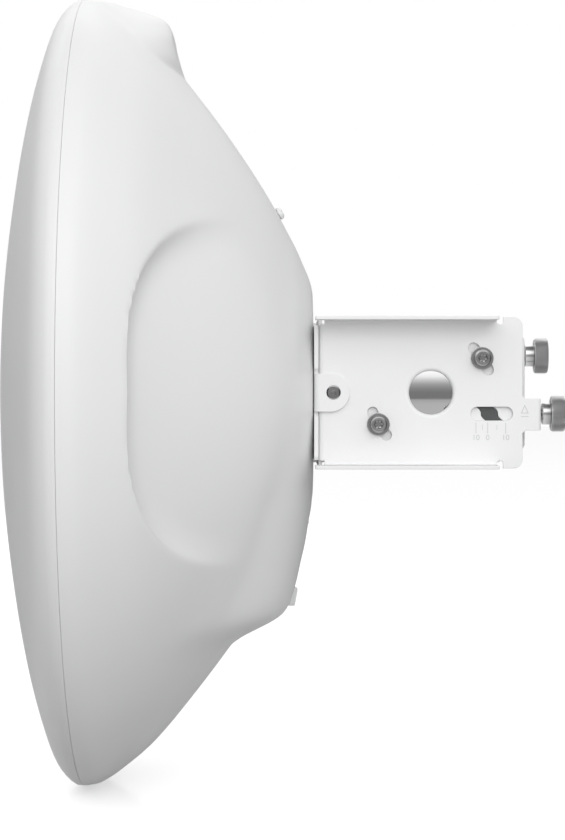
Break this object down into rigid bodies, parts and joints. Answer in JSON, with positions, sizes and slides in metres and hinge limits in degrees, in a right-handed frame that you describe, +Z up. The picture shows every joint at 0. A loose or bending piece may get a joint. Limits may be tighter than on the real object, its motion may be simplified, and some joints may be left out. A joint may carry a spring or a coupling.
{
  "type": "outdoor wireless bridge",
  "caption": "Outdoor point-to-point wireless bridge: a white dish antenna with a sealed radio, on a bracket with fine azimuth and elevation screws for a pole.",
  "frame": {"origin": "on the pole's axis, level with the point where the azimuth and elevation axes cross", "axes": "+Z up along the pole, +X from the dish towards the pole, the dish faces -X and the fine-adjustment screws are on the -Y side"},
  "size_m": [0.2876, 0.4114, 0.4114],
  "materials": {
    "white_plastic": "fine matte moulded",
    "white_powder_coat": "white powder coat",
    "stainless_steel": "machined",
    "polished_steel": "polished",
    "aluminium": "satin",
    "dark_plastic": "matte",
    "black_rubber": "matte",
    "green_board": "solder mask",
    "ceramic": "satin",
    "brass": "machined",
    "clear_plastic": "clear"
  },
  "bodies": {
    "pole_bracket": {"pole_bracket": "white_powder_coat", "azimuth_pivot_pin_1": "stainless_steel", "azimuth_pivot_pin_2": "stainless_steel"},
    "azimuth_frame": {"azimuth_frame": "white_powder_coat", "elevation_pointer_1": "dark_plastic", "elevation_pointer_2": "dark_plastic", "elevation_lock_screw_1": "stainless_steel", "elevation_lock_screw_2": "stainless_steel", "elevation_lock_screw_3": "stainless_steel", "elevation_lock_screw_4": "stainless_steel", "elevation_lock_washer_1": "stainless_steel", "elevation_lock_washer_2": "stainless_steel", "elevation_lock_washer_3": "stainless_steel", "elevation_lock_washer_4": "stainless_steel", "azimuth_lock_screw_1": "stainless_steel", "azimuth_lock_screw_2": "stainless_steel", "azimuth_lock_screw_3": "stainless_steel", "azimuth_lock_screw_4": "stainless_steel"},
    "antenna": {"radome": "white_plastic", "rear_shell": "white_plastic", "rim_gasket": "black_rubber", "vent_plug": "white_plastic", "cable_grommet": "black_rubber", "reflector": "aluminium", "feed_tube": "aluminium", "feed_cone": "ceramic", "sub_reflector": "aluminium", "hub_casting": "aluminium", "radio_can": "polished_steel", "can_cover_1": "polished_steel", "can_cover_2": "polished_steel", "main_board": "green_board", "rf_module": "aluminium", "heat_spreader": "aluminium", "gps_antenna": "ceramic", "backup_antenna": "green_board", "port_board": "green_board", "ethernet_jack": "stainless_steel", "sfp_cage": "stainless_steel", "status_light": "clear_plastic", "door_hinge_pin": "stainless_steel", "elevation_bracket": "white_powder_coat", "antenna_plate": "white_powder_coat", "lock_pin_1": "stainless_steel", "lock_pin_2": "stainless_steel", "plate_screw_1": "stainless_steel", "plate_screw_2": "stainless_steel", "plate_screw_3": "stainless_steel", "plate_screw_4": "stainless_steel"},
    "elevation_swivel": {"elevation_swivel_washer": "stainless_steel"},
    "elevation_screw": {"elevation_thumb_screw": "stainless_steel"},
    "elevation_nut": {"elevation_nut": "brass"},
    "azimuth_screw": {"azimuth_thumb_screw": "stainless_steel", "azimuth_retaining_clip": "stainless_steel"},
    "azimuth_nut": {"azimuth_nut": "brass"},
    "cable_door": {"cable_door": "white_plastic"},
    "reset_button": {"reset_button": "dark_plastic"}
  },
  "joints": [
    {"name": "azimuth", "type": "hinge", "parent": "pole_bracket", "child": "azimuth_frame", "pos_m": [-0.0646, 0, 0], "axis": [0, 0, 1], "range_deg": [-10, 10]},
    {"name": "elevation", "type": "hinge", "parent": "azimuth_frame", "child": "antenna", "pos_m": [-0.0646, 0, 0], "axis": [0, 1, 0], "range_deg": [-10, 10]},
    {"name": "elevation_swivel", "type": "hinge", "parent": "antenna", "child": "elevation_swivel", "pos_m": [-0.0095, -0.048, -0.0108], "axis": [0, 1, 0], "range_deg": [-3.5, 3.5]},
    {"name": "elevation_screw_spin", "type": "hinge", "parent": "elevation_swivel", "child": "elevation_screw", "pos_m": [-0.0095, -0.048, -0.0108], "axis": [1, 0, 0], "range_deg": [-860, 860]},
    {"name": "elevation_nut_pivot", "type": "hinge", "parent": "azimuth_frame", "child": "elevation_nut", "pos_m": [-0.0506, -0.048, -0.0108], "axis": [0, 1, 0], "range_deg": [-13.6, 13.6]},
    {"name": "azimuth_screw_spin", "type": "hinge", "parent": "pole_bracket", "child": "azimuth_screw", "pos_m": [-0.0152, -0.0313, 0.01905], "axis": [1, 0, 0], "range_deg": [-2500, 2500]},
    {"name": "azimuth_nut_pivot", "type": "hinge", "parent": "azimuth_frame", "child": "azimuth_nut", "pos_m": [-0.0646, -0.03154, 0.01905], "axis": [0, 0, 1], "range_deg": [-10.5, 10.5]},
    {"name": "cable_door_hinge", "type": "hinge", "parent": "antenna", "child": "cable_door", "pos_m": [-0.128, 0, -0.0673], "axis": [0, -1, 0], "range_deg": [0, 80]},
    {"name": "reset_button_press", "type": "slide", "parent": "antenna", "child": "reset_button", "axis": [-1, 0, 0], "range_m": [0, 0.0006], "stiffness_N_per_m": 500}
  ],
  "couplings": [
    {"joint": "elevation_swivel", "follows": "elevation", "ratio": 0.3385},
    {"joint": "elevation_screw_spin", "follows": "elevation", "ratio": -83.9},
    {"joint": "elevation_nut_pivot", "follows": "elevation", "ratio": 1.3385},
    {"joint": "azimuth_screw_spin", "follows": "azimuth", "ratio": -247.7},
    {"joint": "azimuth_nut_pivot", "follows": "azimuth", "ratio": -1}
  ]
}
